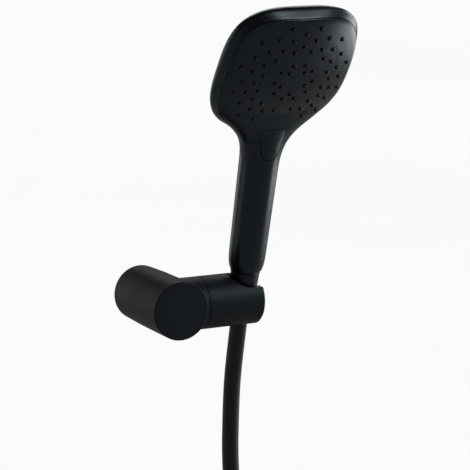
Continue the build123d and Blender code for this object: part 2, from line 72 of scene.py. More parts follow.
# ---------------------------------------------------------------- shader expressions
class Signal:
    """A node's output. Arithmetic on it adds Math nodes."""

    def __init__(self, graph: Graph, socket: bpy.types.NodeSocket) -> None:
        """Wrap an output socket of a graph."""
        self.graph = graph
        self.socket = socket

    def _math(self, operation: str, first: Any, second: Any) -> Signal:
        """Add a Math node and return its output."""
        node = self.graph.node("ShaderNodeMath", {"operation": operation}, {0: first, 1: second})
        return Signal(self.graph, node.outputs[0])

    def __add__(self, other: Any) -> Signal:
        """Sum."""
        return self._math("ADD", self, other)

    __radd__ = __add__

    def __mul__(self, other: Any) -> Signal:
        """Product."""
        return self._math("MULTIPLY", self, other)

    __rmul__ = __mul__

    def __sub__(self, other: Any) -> Signal:
        """Difference."""
        return self._math("SUBTRACT", self, other)

    def __rsub__(self, other: Any) -> Signal:
        """Reflected difference, for 1 - signal."""
        return self._math("SUBTRACT", other, self)

    def __pow__(self, other: Any) -> Signal:
        """Power."""
        return self._math("POWER", self, other)


class Graph:
    """A material's node tree, built by expressions."""

    def __init__(self, name: str) -> None:
        """Start a material with a Principled shader."""
        self.material = bpy.data.materials.new(name)
        self.material.use_nodes = True
        self.tree = self.material.node_tree
        self.shader = self.tree.nodes["Principled BSDF"]

    def link(self, node: bpy.types.Node, inputs: dict[Any, Any]) -> None:
        """Set a node's sockets.

        Args:
            node: The node whose inputs are set.
            inputs: Socket name or index to a value or a Signal.
        """
        for key, value in inputs.items():
            if isinstance(value, Signal):
                self.tree.links.new(value.socket, node.inputs[key])
            else:
                node.inputs[key].default_value = value

    def node(self, kind: str, settings: dict[str, Any], inputs: dict[Any, Any]) -> bpy.types.Node:
        """Add a node.

        Args:
            kind: The node's type name.
            settings: Properties that are set before its sockets.
            inputs: Values or Signals of its sockets.

        Returns:
            The new node.
        """
        node = self.tree.nodes.new(kind)
        for key, value in settings.items():
            setattr(node, key, value)
        self.link(node, inputs)
        return node

    def place(self) -> Signal:
        """Object coordinates, in metres."""
        return Signal(self, self.node("ShaderNodeTexCoord", {}, {}).outputs["Object"])

    def stretched(self, scale: tuple[float, float, float]) -> Signal:
        """Object coordinates stretched along the axes."""
        node = self.node("ShaderNodeMapping", {}, {"Vector": self.place(), "Scale": scale})
        return Signal(self, node.outputs[0])

    def noise(self, scale: float, detail: float = 2.0, place: Signal | None = None) -> Signal:
        """Noise from 0 to 1.

        Args:
            scale: Cells per metre.
            detail: Octaves.
            place: Coordinates, the plain object coordinates if left out.

        Returns:
            The noise value.
        """
        inputs = {"Vector": place or self.place(), "Scale": scale, "Detail": detail}
        return Signal(self, self.node("ShaderNodeTexNoise", {}, inputs).outputs["Fac"])

    def mix(self, factor: Signal, first: Sequence[float], second: Sequence[float]) -> Signal:
        """Colour between two colours."""
        inputs = {0: factor, 6: (*first, 1.0), 7: (*second, 1.0)}
        node = self.node("ShaderNodeMix", {"data_type": "RGBA"}, inputs)
        return Signal(self, node.outputs[2])

    def bump(self, height: Signal, depth: float) -> Signal:
        """Normal from a height signal.

        Args:
            height: Height from 0 to 1.
            depth: Its full height in metres.

        Returns:
            The bumped normal.
        """
        inputs = {"Strength": 1.0, "Distance": depth, "Height": height}
        node = self.node("ShaderNodeBump", {}, inputs)
        return Signal(self, node.outputs[0])


# ---------------------------------------------------------------- finishes
@dataclass(frozen=True)
class Moulded:
    """Satin or matt moulded plastic with a fine eroded grain.

    Attributes:
        tone: Colour of the plastic.
        cloud: Second colour, in faint large clouds.
        roughness: Middle roughness.
        spread: How much the roughness varies.
        grain: Grain cells per metre.
        depth: Grain depth in metres.
        specular: Strength of the surface reflection.
        gleam: Tint of the surface reflection.
    """

    tone: tuple[float, float, float]
    cloud: tuple[float, float, float]
    roughness: float
    spread: float = 0.05
    grain: float = 1800.0
    depth: float = 0.000012
    specular: float = 0.34
    gleam: tuple[float, float, float] = (0.70, 0.91, 1.0)

    def make(self, name: str) -> bpy.types.Material:
        """Make the material."""
        graph = Graph(name)
        clouds = graph.noise(28.0, 3.0)
        smears = graph.noise(9.0, 2.0)
        grain = graph.noise(self.grain, 3.0)
        graph.link(graph.shader, {
            "Base Color": graph.mix(clouds, self.tone, self.cloud),
            "Roughness": (clouds - 0.5) * self.spread + (smears - 0.5) * self.spread
            + self.roughness,
            "Specular IOR Level": self.specular,
            "Specular Tint": (*self.gleam, 1.0),
            "Normal": graph.bump(grain, self.depth),
        })
        return graph.material


@dataclass(frozen=True)
class Soft:
    """Silicone, rubber or hose sheath: dull, with a faint skin and dust.

    Attributes:
        tone: Colour of the rubber.
        dust: Colour of its paler specks.
        roughness: Middle roughness.
        grain: Grain cells per metre.
        depth: Grain depth in metres.
        specular: Strength of the surface reflection.
        gleam: Tint of the surface reflection.
    """

    tone: tuple[float, float, float]
    dust: tuple[float, float, float]
    roughness: float
    grain: float = 900.0
    depth: float = 0.00002
    specular: float = 0.28
    gleam: tuple[float, float, float] = (0.85, 0.96, 1.0)

    def make(self, name: str) -> bpy.types.Material:
        """Make the material."""
        graph = Graph(name)
        specks = graph.noise(self.grain, 4.0) ** 3.0
        streaks = graph.noise(60.0, 2.0)
        graph.link(graph.shader, {
            "Base Color": graph.mix(specks, self.tone, self.dust),
            "Roughness": streaks * 0.12 + (self.roughness - 0.06),
            "Specular IOR Level": self.specular,
            "Specular Tint": (*self.gleam, 1.0),
            "Normal": graph.bump(specks, self.depth),
        })
        return graph.material


@dataclass(frozen=True)
class Metal:
    """Turned or drawn metal with fine lines and faint tarnish.

    Attributes:
        tone: Colour of clean metal.
        tarnish: Colour where it has dulled.
        roughness: Middle roughness.
    """

    tone: tuple[float, float, float]
    tarnish: tuple[float, float, float]
    roughness: float

    def make(self, name: str) -> bpy.types.Material:
        """Make the material."""
        graph = Graph(name)
        lines = graph.noise(300.0, 3.0, graph.stretched((1.0, 1.0, 12.0)))
        dull = graph.noise(120.0, 4.0)
        graph.link(graph.shader, {
            "Base Color": graph.mix(dull ** 2.0, self.tone, self.tarnish),
            "Metallic": 1.0,
            "Roughness": lines * 0.15 + dull * 0.1 + (self.roughness - 0.12),
            "Normal": graph.bump(lines, 0.000008),
        })
        return graph.material


class Finish(Enum):
    """The finishes of the set, each with its material name as value."""

    BRACKET = "bracket_plastic"
    HANDSET = "handset_plastic"
    FACE = "face_plastic"
    NOZZLE = "nozzle_silicone"
    HOSE = "hose_sheath"
    NUT = "nut_finish"
    INNER = "inner_plastic"
    BRASS = "brass"
    STEEL = "steel"
    SEAL = "seal_rubber"
    TIE = "tie_strap"


RECIPES: dict[Finish, Moulded | Soft | Metal] = {
    Finish.BRACKET: Moulded((0.0032, 0.0038, 0.0045), (0.0046, 0.0054, 0.0064), 0.52,
                            depth=0.000022, specular=0.2),
    Finish.HANDSET: Moulded((0.0028, 0.0036, 0.0044), (0.0040, 0.0050, 0.0060), 0.27),
    Finish.FACE: Moulded((0.0026, 0.0034, 0.0042), (0.0038, 0.0048, 0.0058), 0.31),
    Finish.NOZZLE: Soft((0.0022, 0.0026, 0.0030), (0.0050, 0.0054, 0.0060), 0.34),
    Finish.HOSE: Soft((0.0024, 0.0030, 0.0038), (0.0046, 0.0052, 0.0062), 0.38),
    Finish.NUT: Moulded((0.0024, 0.0028, 0.0034), (0.0036, 0.0042, 0.0050), 0.34),
    Finish.INNER: Moulded((0.10, 0.10, 0.105), (0.13, 0.13, 0.135), 0.45),
    Finish.BRASS: Metal((0.78, 0.57, 0.27), (0.45, 0.33, 0.18), 0.3),
    Finish.STEEL: Metal((0.62, 0.62, 0.63), (0.4, 0.39, 0.38), 0.3),
    Finish.SEAL: Soft((0.012, 0.012, 0.012), (0.03, 0.03, 0.03), 0.6),
    Finish.TIE: Soft((0.008, 0.008, 0.009), (0.016, 0.016, 0.017), 0.55),
}


class Wardrobe:
    """Makes each finish once and puts it on pieces."""

    def __init__(self) -> None:
        """Start with no materials made."""
        self.made: dict[Finish, bpy.types.Material] = {}

    def dress(self, piece: bpy.types.Object, finish: Finish) -> None:
        """Give a piece one finish all over.

        Args:
            piece: A new piece or a CAD node.
            finish: The finish that it gets.
        """
        if finish not in self.made:
            self.made[finish] = RECIPES[finish].make(finish.value)
        piece.data.materials.clear()
        piece.data.materials.append(self.made[finish])


# ---------------------------------------------------------------- mesh work
def pick(piece: bpy.types.Object) -> None:
    """Select one piece alone and make it active.

    Args:
        piece: The piece to select.
    """
    bpy.ops.object.select_all(action="DESELECT")
    bpy.context.view_layer.objects.active = piece
    piece.select_set(True)


@contextmanager
def editing(piece: bpy.types.Object) -> Iterator[None]:
    """Edit mode on one piece, with nothing else selected.

    Args:
        piece: The piece to edit.
    """
    if bpy.context.object and bpy.context.object.mode != "OBJECT":
        bpy.ops.object.mode_set(mode="OBJECT")
    pick(piece)
    bpy.ops.object.mode_set(mode="EDIT")
    yield
    bpy.ops.object.mode_set(mode="OBJECT")


def put_selected(piece: bpy.types.Object, points: Sequence[Vector]) -> None:
    """Move the selected vertices, in their order, to the given points.

    Args:
        piece: The piece, in edit mode.
        points: One point for each selected vertex.
    """
    mesh = bmesh.from_edit_mesh(piece.data)
    chosen = [vertex for vertex in mesh.verts if vertex.select]
    for vertex, point in zip(chosen, points, strict=True):
        vertex.co = point
    bmesh.update_edit_mesh(piece.data)


def skin(name: str, rings: Sequence[Sequence[Vector]], capped: bool = True) -> bpy.types.Object:
    """Skin through rings of points: one ring is added, and extruded to each of the others.

    Args:
        name: Name of the piece.
        rings: Rings with the same number of points, in order.
        capped: Whether both ends get a face.

    Returns:
        The new piece.
    """
    bpy.ops.object.select_all(action="DESELECT")
    bpy.ops.mesh.primitive_circle_add(vertices=len(rings[0]), radius=0.01)
    piece = bpy.context.object
    piece.name = name
    with editing(piece):
        bpy.ops.mesh.select_all(action="SELECT")
        put_selected(piece, rings[0])
        if capped:
            bpy.ops.mesh.edge_face_add()
            bpy.ops.mesh.select_all(action="DESELECT")
            mesh = bmesh.from_edit_mesh(piece.data)
            for edge in mesh.edges:
                edge.select = True
            bmesh.update_edit_mesh(piece.data)
            bpy.ops.mesh.select_mode(type="EDGE")
        for ring in rings[1:]:
            bpy.ops.mesh.extrude_edges_move()
            put_selected(piece, ring)
        if capped:
            bpy.ops.mesh.edge_face_add()
        bpy.ops.mesh.select_mode(type="VERT")
        bpy.ops.mesh.select_all(action="SELECT")
        bpy.ops.mesh.normals_make_consistent(inside=False)
    return piece


def modify(piece: bpy.types.Object, kind: str, **settings: Any) -> None:
    """Add a modifier to a piece and apply it.

    Args:
        piece: The piece.
        kind: The modifier's type.
        settings: Its properties.
    """
    pick(piece)
    modifier = piece.modifiers.new(kind.lower(), kind)
    for key, value in settings.items():
        setattr(modifier, key, value)
    bpy.ops.object.modifier_apply(modifier=modifier.name)


def cut(piece: bpy.types.Object, tool: bpy.types.Object) -> None:
    """Cut a tool's volume out of a piece, and remove the tool.

    Args:
        piece: The piece that is cut.
        tool: A closed mesh of the volume to take away.
    """
    modify(piece, "BOOLEAN", operation="DIFFERENCE", object=tool, solver="MANIFOLD")
    bpy.data.objects.remove(tool)


def join(name: str, pieces: Sequence[bpy.types.Object]) -> bpy.types.Object:
    """Join pieces into one object.

    Args:
        name: Name of the joined piece.
        pieces: The pieces, the first of which is kept.

    Returns:
        The joined piece.
    """
    bpy.ops.object.select_all(action="DESELECT")
    for piece in pieces:
        piece.select_set(True)
    bpy.context.view_layer.objects.active = pieces[0]
    bpy.ops.object.join()
    pieces[0].name = name
    return pieces[0]


def smooth(piece: bpy.types.Object, degrees: float) -> None:
    """Shade smooth, with edges sharper than an angle kept crisp.

    Args:
        piece: The piece.
        degrees: The sharpest angle that is still smoothed.
    """
    pick(piece)
    bpy.ops.object.shade_smooth_by_angle(angle=math.radians(degrees))


def settle(piece: bpy.types.Object, place: Matrix) -> None:
    """Apply a place to a piece's mesh, so that its object stays at the origin.

    Args:
        piece: The piece.
        place: Its move, turn and scale.
    """
    pick(piece)
    piece.matrix_world = place @ piece.matrix_world
    bpy.ops.object.transform_apply(location=True, rotation=True, scale=True)


def circle(radius: float, count: int, place: Matrix) -> list[Vector]:
    """Points of a circle in the XY plane of a place.

    Args:
        radius: Radius of the circle.
        count: Number of points.
        place: Where the circle lies.

    Returns:
        The points, in order.
    """
    turn = 2 * math.pi / count
    return [
        place @ Vector((radius * math.cos(turn * i), radius * math.sin(turn * i), 0.0))
        for i in range(count)
    ]


def lathe(name: str, profile: Sequence[tuple[float, float]], place: Matrix,
          count: int = 64) -> bpy.types.Object:
    """Closed round piece about the Z axis of a place.

    Args:
        name: Name of the piece.
        profile: Its radius and height at each step, from one end to the other.
        place: Where its axis stands.
        count: Points round it.

    Returns:
        The new piece.
    """
    rings = [circle(radius, count, place @ Matrix.Translation((0, 0, height)))
             for radius, height in profile]
    return skin(name, rings)


# ---------------------------------------------------------------- handset
@dataclass(frozen=True)
class Station:
    """An ellipse across the handle or neck, in millimetres.

    Attributes:
        height: Height up the handle.
        half_width: Half of its width.
        back: Reach behind the handle's axis, negative backwards.
        front: Reach in front of the handle's axis.
    """

    height: float
    half_width: float
    back: float
    front: float


@dataclass
class Handset:
    """Handset with its head, spray face and button, in millimetres until it is placed.

    Attributes:
        half_width: Half of the head's width.
        upper_height: Height of the head over its widest line.
        lower_height: Height of the head under its widest line.
        rise: How far the widest line is above the spray pattern's centre.
        upper_power: Power of the outline over the widest line.
        lower_power: Power of the outline under it.
        head_height: Height of the spray pattern's centre up the handle.
        head_forward: Its distance in front of the handle's axis.
        lean: Angle between the face and the handle, in degrees.
        crown: Height of the dome over the pattern's plane.
        dome_radius: Radius of the face's dome.
        rim_depth: How far the widest line of the rim is behind the pattern's plane.
        shoulder: How far the dome has dropped where the rim begins.
        face_scale: Size of the spray face beside the head's outline.
        face_foot: Where the face's soft square ends and its tongue begins.
        face_cut: How deep the face is cut out of the skin.
        neck_line: Middle of the softened neck in the face's plane.
        neck_reach: How far the softening spreads from that line.
        grain: Size of the remeshed skin's faces.
        even_passes: Smoothing passes over the whole skin.
        neck_passes: Further passes at the neck.
        skin_depth: Wall thickness.
        gap: Width of the seams.
        hole: Radius of the nozzle holes.
        pattern_power: Power of the spray pattern's soft rings.
        button_height: Height of the button's middle up the handle.
        button_half_height: Half of the button's height.
        button_middle: Half of its width at its middle.
        button_flare: How much wider each half is at its top.
        button_power: Power of its outline.
        button_crown: How far its middle stands proud.
        rain_profile: Radius and height of a rain nozzle's points.
        jet_profile: The same for a massage jet.
        tilt: Lean of the handset's axis in its socket, in degrees.
        turn: How far the handset is turned in its socket, in degrees.
        socket: Centre of the socket.
    """

    half_width: float = 58.9
    upper_height: float = 56.7
    lower_height: float = 60.5
    rise: float = 1.5
    upper_power: float = 3.3
    lower_power: float = 3.0
    head_height: float = 201.2
    head_forward: float = 35.1
    lean: float = 20.0
    crown: float = 2.6
    dome_radius: float = 160.0
    rim_depth: float = 17.0
    shoulder: float = 1.1
    face_scale: float = 0.928
    face_foot: float = -48.0
    face_cut: float = 8.0
    neck_line: float = -47.0
    neck_reach: float = 25.0
    grain: float = 1.1
    even_passes: int = 3
    neck_passes: int = 45
    skin_depth: float = 2.4
    gap: float = 0.46
    hole: float = 1.9
    pattern_power: float = 2.19
    button_height: float = 142.0
    button_half_height: float = 13.5
    button_middle: float = 9.9
    button_flare: float = 3.3
    button_power: float = 4.0
    button_crown: float = 0.9
    rain_profile: tuple[tuple[float, float], ...] = (
        (2.6, -3.4), (2.6, -2.7), (1.62, -2.5), (1.5, 0.0), (1.42, 0.7), (1.25, 1.05),
        (1.0, 1.18), (0.66, 1.15), (0.52, 0.95), (0.45, -0.8),
    )
    jet_profile: tuple[tuple[float, float], ...] = (
        (2.4, -3.4), (2.4, -2.7), (1.7, -2.5), (1.65, 0.3), (1.55, 0.85), (1.3, 1.05),
        (1.08, 0.9), (0.98, 0.1), (0.55, 0.1), (0.45, 0.75), (0.2, 0.9),
    )
    tilt: float = 14.1
    turn: float = 1.8
    socket: tuple[float, float, float] = (65.9, -58.9, 0.0)

    def face(self) -> Matrix:
        """Place of the spray face, its Z out of the face and its Y up it."""
        angle = math.radians(self.lean)
        out = Vector((0, -math.cos(angle), -math.sin(angle)))
        up = Vector((0, -math.sin(angle), math.cos(angle)))
        turn = Matrix((Vector((1, 0, 0)), up, out)).transposed().to_4x4()
        return Matrix.Translation((0, -self.head_forward, self.head_height)) @ turn

    def outline(self, scale: float, count: int) -> list[tuple[float, float]]:
        """Points of the head's outline at a scale, evenly spaced in angle.

        Args:
            scale: Size beside the full outline.
            count: Number of points.

        Returns:
            The points in the face's plane.
        """
        points = []
        for i in range(count):
            angle = 2 * math.pi * i / count
            upper = math.sin(angle) > 0
            power = self.upper_power if upper else self.lower_power
            height = self.upper_height if upper else self.lower_height
            across = abs(math.cos(angle)) / self.half_width
            along = abs(math.sin(angle)) / height
            reach = scale * (across ** power + along ** power) ** (-1 / power)
            points.append((reach * math.cos(angle), reach * math.sin(angle) + self.rise))
        return points

    def dome(self, x: float, y: float) -> float:
        """Height of the face's dome at a point of the pattern's plane."""
        return self.crown - self.dome_radius + math.sqrt(self.dome_radius ** 2 - x * x - y * y)

    def head(self) -> bpy.types.Object:
        """Pillow-shaped head: dome in front, rim at the side and a rounded back.

        Returns:
            The closed head.
        """
        count = 96
        face = self.face()
        rings = []
        for scale, drop in ((0.06, 0.0), (0.2, 0.0), (0.35, 0.0), (0.5, 0.0), (0.65, 0.0),
                            (0.78, 0.0), (0.86, 0.15), (0.9, 0.5), (0.926, self.shoulder)):
            rings.append([face @ Vector((x, y, self.dome(x, y) - drop))
                          for x, y in self.outline(scale, count)])
        for scale, depth in ((0.955, 0.33), (0.982, 0.68), (1.0, 1.0)):
            rings.append([
                face @ Vector((
                    x, y,
                    (self.dome(x, y) - self.shoulder) * (1 - depth) - self.rim_depth * depth,
                ))
                for x, y in self.outline(scale, count)
            ])
        for scale, off in ((0.99, -19.7), (0.96, -22.6), (0.905, -25.4), (0.8, -27.8),
                           (0.62, -29.3), (0.4, -30.1), (0.15, -30.4)):
            rings.append([face @ Vector((x, y, off)) for x, y in self.outline(scale, count)])
        return skin("head", rings)

    def handle(self) -> bpy.types.Object:
        """Handle and flared neck, a little longer than needed at both ends.

        Returns:
            The closed handle.
        """
        count = 64
        stations = (
            Station(20.0, 15.0, -15.0, 15.0),
            Station(45.0, 15.3, -15.3, 15.3),
            Station(70.0, 15.6, -15.6, 15.6),
            Station(95.0, 15.9, -15.9, 15.9),
            Station(113.0, 16.1, -16.1, 16.1),
            Station(124.0, 16.3, -15.9, 16.3),
            Station(132.0, 17.4, -15.1, 16.6),
            Station(139.0, 19.7, -13.6, 17.0),
            Station(145.0, 23.3, -11.7, 17.2),
            Station(151.0, 28.7, -9.2, 17.4),
            Station(157.0, 35.8, -6.2, 18.2),
            Station(163.0, 42.0, -3.2, 20.3),
            Station(170.0, 46.0, 0.0, 23.1),
            Station(178.0, 47.0, 3.0, 25.4),
            Station(186.0, 44.0, 6.0, 25.5),
        )
        rings = []
        for station in stations:
            middle = (station.front + station.back) / 2
            depth = (station.front - station.back) / 2
            rings.append([
                Vector((station.half_width * math.cos(angle), -middle + depth * math.sin(angle),
                        station.height))
                for angle in (2 * math.pi * i / count for i in range(count))
            ])
        piece = skin("handle", rings)
        modify(piece, "SUBSURF", levels=2, render_levels=2)
        return piece

    def neck_weight(self, place: Vector) -> float:
        """How much a point of the skin is softened where the neck meets the head.

        Args:
            place: A point of the upright handset.

        Returns:
            A weight from 0 to 1.
        """
        local = self.face().inverted() @ place
        near = 1 - min(1.0, abs(local.y - self.neck_line) / self.neck_reach)
        return max(0.0, near) ** 0.7

    def body(self) -> bpy.types.Object:
        """One blended skin of head, neck and handle, hollow and open at the foot.

        Returns:
            The skin, still in one piece.
        """
        piece = join("handset_skin", [self.head(), self.handle()])
        modify(piece, "REMESH", mode="VOXEL", voxel_size=self.grain)
        group = piece.vertex_groups.new(name="neck")
        for vertex in piece.data.vertices:
            weight = self.neck_weight(vertex.co)
            if weight > 0:
                group.add([vertex.index], weight, "REPLACE")
        modify(piece, "SMOOTH", factor=0.5, iterations=self.even_passes)
        modify(piece, "SMOOTH", factor=0.5, iterations=self.neck_passes, vertex_group="neck")
        foot = [(0.5, 12.0), (40.0, 12.0), (40.0, 28.5), (14.9, 28.5), (12.6, 25.0), (0.5, 25.0)]
        cut(piece, lathe("foot_tool", foot, Matrix.Identity(4)))
        modify(piece, "SOLIDIFY", thickness=self.skin_depth, offset=-1.0)
        return piece

    def seam_points(self) -> list[tuple[float, float]]:
        """Outline of the spray face: a soft square that runs down into the neck.

        Returns:
            The points in the face's plane, in order.
        """
        count = 144
        lowest = self.face_foot
        square = self.outline(self.face_scale, count)
        first = next(i for i in range(count) if square[i][0] > 0 and square[i][1] > lowest
                     and square[i - 1][1] <= lowest)
        ordered = square[first:] + square[:first]
        upper = [point for point in ordered if point[1] > lowest]
        tongue = [(34.5, -49.7), (30.8, -52.0), (26.6, -54.7), (21.8, -57.6), (17.0, -59.8),
                  (12.8, -61.2), (5.0, -62.0)]
        left = [(-x, y) for x, y in tongue]
        return upper + left + tongue[::-1]

    def button_point(self, angle: float, scale: float) -> tuple[float, float]:
        """Point of the button's outline: a soft trapezoid, wider at its top.

        Args:
            angle: Angle round the button's middle, in radians.
            scale: Size beside the full outline.

        Returns:
            The point across and up the handset.
        """
        across = math.cos(angle)
        along = math.sin(angle)
        power = self.button_power
        reach = scale * (abs(across) ** power + abs(along) ** power) ** (-1 / power)
        half = self.button_middle + self.button_flare * reach * along
        return (reach * across * half,
                self.button_height + reach * along * self.button_half_height)

    def curtain(self, name: str, points: Sequence[tuple[float, float]], place: Matrix,
                bottom: Callable[[float, float], float], top: float) -> bpy.types.Object:
        """Thin closed wall along an outline, as a tool that cuts a seam.

        Args:
            name: Name of the tool.
            points: Outline in the XY plane of the place.
            place: Where the outline lies.
            bottom: Height of the wall's lower edge at a point.
            top: Height of its upper edge.

        Returns:
            The tool.
        """
        low = [place @ Vector((x, y, bottom(x, y))) for x, y in points]
        high = [place @ Vector((x, y, top)) for x, y in points]
        wall = skin(name, [low, high], capped=False)
        modify(wall, "SOLIDIFY", thickness=self.gap, offset=0.0, use_even_offset=True)
        return wall

    def split(self, piece: bpy.types.Object) -> list[bpy.types.Object]:
        """Separate a piece into its loose parts and keep the two largest.

        Args:
            piece: The piece, cut through along a seam.

        Returns:
            The two largest parts, the larger first.
        """
        with editing(piece):
            bpy.ops.mesh.select_all(action="SELECT")
            bpy.ops.mesh.separate(type="LOOSE")
        parts = [part for part in bpy.context.selected_objects if part.type == "MESH"]
        parts.sort(key=lambda part: -len(part.data.vertices))
        LOG.info("split %s: %s", piece.name, [len(part.data.vertices) for part in parts])
        for crumb in parts[2:]:
            bpy.data.objects.remove(crumb)
        return parts[:2]

    def cut_button(self, body: bpy.types.Object) -> tuple[bpy.types.Object, bpy.types.Object]:
        """Cut the button free of the skin and give it a soft crown.

        Args:
            body: The handset's skin.

        Returns:
            The skin with its opening, and the button.
        """
        front = Matrix(((1, 0, 0, 0), (0, 0, -1, 0), (0, 1, 0, 0), (0, 0, 0, 1)))
        points = [self.button_point(2 * math.pi * i / 96, 1.0) for i in range(96)]
        cut(body, self.curtain("button_tool", points, front, lambda x, y: 10.5, 26.0))
        rest, button = self.split(body)
        with editing(button):
            mesh = bmesh.from_edit_mesh(button.data)
            for vertex in mesh.verts:
                along = (vertex.co.z - self.button_height) / self.button_half_height
                half = self.button_middle + self.button_flare * along
                share = min(1.0, (abs(along) ** 4 + abs(vertex.co.x / half) ** 4) ** 0.25)
                vertex.co.y -= self.button_crown * (1 - share ** 3) - 0.15
            bmesh.update_edit_mesh(button.data)
        return rest, button

    def cut_face(self, rest: bpy.types.Object) -> tuple[bpy.types.Object, bpy.types.Object]:
        """Cut the spray face free of the skin.

        Args:
            rest: The skin with the button's opening.

        Returns:
            The shell and the spray face.
        """
        lowest = -self.rim_depth - 0.5
        cut(rest, self.curtain("face_tool", self.seam_points(), self.face(),
                               lambda x, y: max(self.dome(x, y) - self.face_cut, lowest), 9.0))
        return tuple(self.split(rest))

    def pattern(self, radius: float, degrees: float) -> tuple[float, float]:
        """Point of the spray pattern.

        Args:
            radius: Distance from the pattern's centre, before the soft ring's stretch.
            degrees: Angle counted from the top towards +X.

        Returns:
            The point in the face's plane.
        """
        across = math.sin(math.radians(degrees))
        along = math.cos(math.radians(degrees))
        power = self.pattern_power
        stretch = (abs(across) ** power + abs(along) ** power) ** (-1 / power)
        return (radius * stretch * across, radius * stretch * along)

    def outer_places(self) -> list[tuple[float, float]]:
        """Places of the rain nozzles: spokes of three and of two in turn, the lowest short.

        Returns:
            The places in the face's plane.
        """
        places = []
        for side in (-1, 1):
            for spoke in (15, 45, 75, 105, 135):
                for radius in (28.9, 38.2, 48.0):
                    places.append(self.pattern(radius, side * spoke))
            places.append(self.pattern(28.9, side * 165))
        for spoke in range(-150, 151, 30):
            for radius in (33.1, 42.9):
                places.append(self.pattern(radius, spoke))
        return places

    def centre_places(self) -> list[tuple[float, float]]:
        """Places of the massage jets: a ring of ten round a ring of five."""
        ring = [self.pattern(16.7, 18 + 36 * index) for index in range(10)]
        return ring + [self.pattern(11.1, 36 + 72 * index) for index in range(5)]

    def seats(self, plate: bpy.types.Object,
              places: Sequence[tuple[float, float]]) -> list[Matrix]:
        """Where nozzles come out of the spray face, each on the surface at its place.

        Args:
            plate: The spray face, before it is drilled.
            places: Places in the plane of the spray pattern.

        Returns:
            A place for each nozzle, its Z out of the face.
        """
        face = self.face()
        down = -(face.to_3x3() @ Vector((0, 0, 1)))
        found = []
        for x, y in places:
            hit, point, _, _ = plate.ray_cast(face @ Vector((x, y, 12.0)), down)
            height = (face.inverted() @ point).z if hit else self.dome(x, y)
            found.append(face @ Matrix.Translation((x, y, height)))
        return found

    def drill(self, plate: bpy.types.Object, seats: Sequence[Matrix]) -> None:
        """Drill the nozzle holes through the spray face.

        Args:
            plate: The spray face.
            seats: Where each hole is.
        """
        profile = [(self.hole, -5.0), (self.hole, 4.0)]
        cut(plate, join("drills", [lathe("drill", profile, seat, 20) for seat in seats]))

    def nozzles(self, name: str, seats: Sequence[Matrix],
                profile: Sequence[tuple[float, float]]) -> bpy.types.Object:
        """One nozzle, turned once and copied to every place of its pattern.

        Args:
            name: Name of the set.
            seats: Where each nozzle stands.
            profile: Radius and height over the surface, from the root to the bore.

        Returns:
            All the nozzles as one piece.
        """
        first = lathe(name, profile, Matrix.Identity(4), 20)
        smooth(first, 50)
        copies = []
        for seat in seats:
            copy = first.copy()
            copy.data = first.data.copy()
            bpy.context.collection.objects.link(copy)
            copy.matrix_world = seat
            copies.append(copy)
        bpy.data.objects.remove(first)
        return join(name, copies)

    def build(self, wardrobe: Wardrobe) -> None:
        """Build, place and dress the handset's visible pieces.

        Args:
            wardrobe: Where the finishes come from.
        """
        rest, button = self.cut_button(self.body())
        shell, plate = self.cut_face(rest)
        outer = self.seats(plate, self.outer_places())
        centre = self.seats(plate, self.centre_places())
        self.drill(plate, outer + centre)
        rain = self.nozzles("rain_nozzles", outer, self.rain_profile)
        jets = self.nozzles("centre_jets", centre, self.jet_profile)
        made = (
            (shell, "handset_skin", "handset", "handset_shell", Finish.HANDSET),
            (plate, "spray_face", "handset", "face_plate", Finish.FACE),
            (rain, "rain_nozzles", "handset", "nozzle_mat", Finish.NOZZLE),
            (jets, "centre_jets", "handset", "centre_insert", Finish.NOZZLE),
            (button, "button_cap", "spray_button", "spray_button", Finish.FACE),
        )
        for piece, name, body, node, finish in made:
            piece.name = name
            piece.data.name = name
            settle(piece, self.place())
            smooth(piece, 38)
            wardrobe.dress(piece, finish)
            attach(piece, body)
            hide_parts(node)
            LOG.info("%s: %d faces", name, len(piece.data.polygons))

    def place(self) -> Matrix:
        """Place of the handset in its socket, with its change from millimetres to metres.

        Returns:
            The place.
        """
        lean = Matrix.Rotation(math.radians(self.tilt), 4, "X")
        turn = Matrix.Rotation(math.radians(self.turn), 4, "Z")
        return Matrix.Translation(Vector(self.socket) * MM) @ lean @ turn @ Matrix.Scale(MM, 4)


